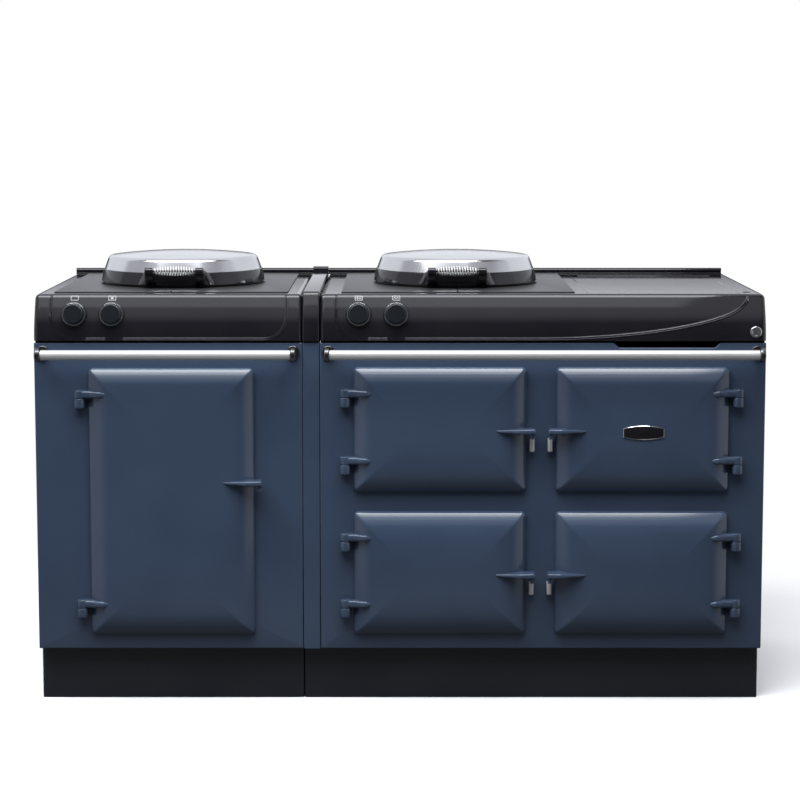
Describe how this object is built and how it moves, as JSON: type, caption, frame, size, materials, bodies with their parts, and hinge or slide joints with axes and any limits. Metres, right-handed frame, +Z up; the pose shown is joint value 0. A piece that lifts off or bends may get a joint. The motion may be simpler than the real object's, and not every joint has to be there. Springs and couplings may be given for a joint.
{
  "type": "cast iron range cooker",
  "caption": "Wide two-module range cooker with enamelled cast doors, hinged hotplate lids with coil handles, a sculpted black hob front and towel rails.",
  "frame": {"origin": "on the floor under the middle of the cooker", "axes": "+Z up, +X to the cooker's right as seen from the front, +Y towards the wall; the doors face -Y"},
  "size_m": [1.61, 0.7236, 0.9893],
  "materials": {
    "blue_enamel": "glossy slate blue vitreous enamel on cast iron",
    "black_enamel": "glossy black vitreous enamel on cast iron",
    "plinth_paint": "satin charcoal powder coat",
    "cabinet_paint": "satin charcoal sheet steel",
    "hotplate_iron": "ground cast iron",
    "polished_chrome": "polished chrome",
    "brushed_steel": "satin stainless steel",
    "door_steel": "aluminised steel pressing",
    "oven_enamel": "dark speckled oven enamel",
    "knob_black": "glossy black moulding"
  },
  "bodies": {
    "cooker": {"plinth_left": "plinth_paint", "plinth_right": "plinth_paint", "cabinet_left": "cabinet_paint", "cabinet_right": "cabinet_paint", "front_panel_left": "blue_enamel", "front_panel_right": "blue_enamel", "joint_strip_front": "blue_enamel", "joint_strip_cap": "black_enamel", "top_plate_left": "black_enamel", "top_plate_right": "black_enamel", "hob_cover_left_1": "black_enamel", "hob_cover_left_2": "black_enamel", "hob_cover_right_1": "black_enamel", "hob_cover_right_2": "black_enamel", "hotplate_left": "hotplate_iron", "hotplate_right": "hotplate_iron", "towel_rail_left": "brushed_steel", "towel_rail_right": "brushed_steel", "rail_bracket_left_1": "black_enamel", "rail_bracket_left_2": "black_enamel", "rail_bracket_right_1": "black_enamel", "rail_bracket_right_2": "black_enamel", "oven_liner_tall": "oven_enamel", "oven_shelf_tall": "polished_chrome", "oven_liner_top_left": "oven_enamel", "oven_shelf_top_left": "polished_chrome", "oven_liner_top_right": "oven_enamel", "oven_shelf_top_right": "polished_chrome", "oven_liner_bottom_left": "oven_enamel", "oven_shelf_bottom_left": "polished_chrome", "oven_liner_bottom_right": "oven_enamel", "oven_shelf_bottom_right": "polished_chrome"},
    "door_tall": {"door_casting_tall": "blue_enamel", "door_inner_panel_tall": "door_steel"},
    "door_top_left": {"door_casting_top_left": "blue_enamel", "door_inner_panel_top_left": "door_steel"},
    "door_top_right": {"door_casting_top_right": "blue_enamel", "door_inner_panel_top_right": "door_steel"},
    "door_bottom_left": {"door_casting_bottom_left": "blue_enamel", "door_inner_panel_bottom_left": "door_steel"},
    "door_bottom_right": {"door_casting_bottom_right": "blue_enamel", "door_inner_panel_bottom_right": "door_steel"},
    "lid_left": {"lid_base_left": "black_enamel", "lid_dome_left": "polished_chrome", "lid_bracket_left": "black_enamel", "lid_coil_left": "polished_chrome"},
    "lid_right": {"lid_base_right": "black_enamel", "lid_dome_right": "polished_chrome", "lid_bracket_right": "black_enamel", "lid_coil_right": "polished_chrome"},
    "knob_left_upper_oven": {"knob_left_upper_oven": "knob_black"},
    "knob_left_lower_oven": {"knob_left_lower_oven": "knob_black"},
    "knob_right_hob": {"knob_right_hob": "knob_black"},
    "knob_right_ovens": {"knob_right_ovens": "knob_black"},
    "push_button": {"push_button": "brushed_steel"},
    "catch_roller_top_left": {"catch_roller_top_left": "polished_chrome"},
    "catch_roller_top_right": {"catch_roller_top_right": "polished_chrome"},
    "catch_roller_bottom_left": {"catch_roller_bottom_left": "polished_chrome"},
    "catch_roller_bottom_right": {"catch_roller_bottom_right": "polished_chrome"}
  },
  "joints": [
    {"name": "door_tall_hinge", "type": "hinge", "parent": "cooker", "child": "door_tall", "pos_m": [-0.704, -0.30225, 0.227], "axis": [0, 0, -1], "range_deg": [0, 150]},
    {"name": "door_top_left_hinge", "type": "hinge", "parent": "cooker", "child": "door_top_left", "pos_m": [-0.121, -0.30225, 0.548], "axis": [0, 0, -1], "range_deg": [0, 150]},
    {"name": "door_top_right_hinge", "type": "hinge", "parent": "cooker", "child": "door_top_right", "pos_m": [0.743, -0.30225, 0.548], "axis": [0, 0, 1], "range_deg": [0, 150]},
    {"name": "door_bottom_left_hinge", "type": "hinge", "parent": "cooker", "child": "door_bottom_left", "pos_m": [-0.121, -0.30225, 0.227], "axis": [0, 0, -1], "range_deg": [0, 150]},
    {"name": "door_bottom_right_hinge", "type": "hinge", "parent": "cooker", "child": "door_bottom_right", "pos_m": [0.743, -0.30225, 0.227], "axis": [0, 0, 1], "range_deg": [0, 150]},
    {"name": "lid_left_hinge", "type": "hinge", "parent": "cooker", "child": "lid_left", "pos_m": [-0.508, 0.26775, 0.93], "axis": [-1, 0, 0], "range_deg": [0, 80]},
    {"name": "lid_right_hinge", "type": "hinge", "parent": "cooker", "child": "lid_right", "pos_m": [0.129, 0.26775, 0.93], "axis": [-1, 0, 0], "range_deg": [0, 80]},
    {"name": "knob_left_upper_oven_turn", "type": "hinge", "parent": "cooker", "child": "knob_left_upper_oven", "pos_m": [-0.717, -0.27717, 0.86849], "axis": [0, 0.9828, -0.1847], "range_deg": [0, 270]},
    {"name": "knob_left_lower_oven_turn", "type": "hinge", "parent": "cooker", "child": "knob_left_lower_oven", "pos_m": [-0.6345, -0.27717, 0.86849], "axis": [0, 0.9828, -0.1847], "range_deg": [0, 270]},
    {"name": "knob_right_hob_turn", "type": "hinge", "parent": "cooker", "child": "knob_right_hob", "pos_m": [-0.091, -0.27717, 0.86849], "axis": [0, 0.9828, -0.1847], "range_deg": [0, 270]},
    {"name": "knob_right_ovens_turn", "type": "hinge", "parent": "cooker", "child": "knob_right_ovens", "pos_m": [-0.0085, -0.27717, 0.86849], "axis": [0, 0.9828, -0.1847], "range_deg": [0, 270]},
    {"name": "push_button_travel", "type": "slide", "parent": "cooker", "child": "push_button", "axis": [0, 1, 0], "range_m": [0, 0.003], "stiffness_N_per_m": 300},
    {"name": "catch_roller_top_left_spin", "type": "hinge", "parent": "cooker", "child": "catch_roller_top_left", "pos_m": [0.291, -0.29525, 0.582], "axis": [0, 0, 1], "continuous": true},
    {"name": "catch_roller_top_right_spin", "type": "hinge", "parent": "cooker", "child": "catch_roller_top_right", "pos_m": [0.331, -0.29525, 0.582], "axis": [0, 0, 1], "continuous": true},
    {"name": "catch_roller_bottom_left_spin", "type": "hinge", "parent": "cooker", "child": "catch_roller_bottom_left", "pos_m": [0.291, -0.29525, 0.261], "axis": [0, 0, 1], "continuous": true},
    {"name": "catch_roller_bottom_right_spin", "type": "hinge", "parent": "cooker", "child": "catch_roller_bottom_right", "pos_m": [0.331, -0.29525, 0.261], "axis": [0, 0, 1], "continuous": true}
  ]
}
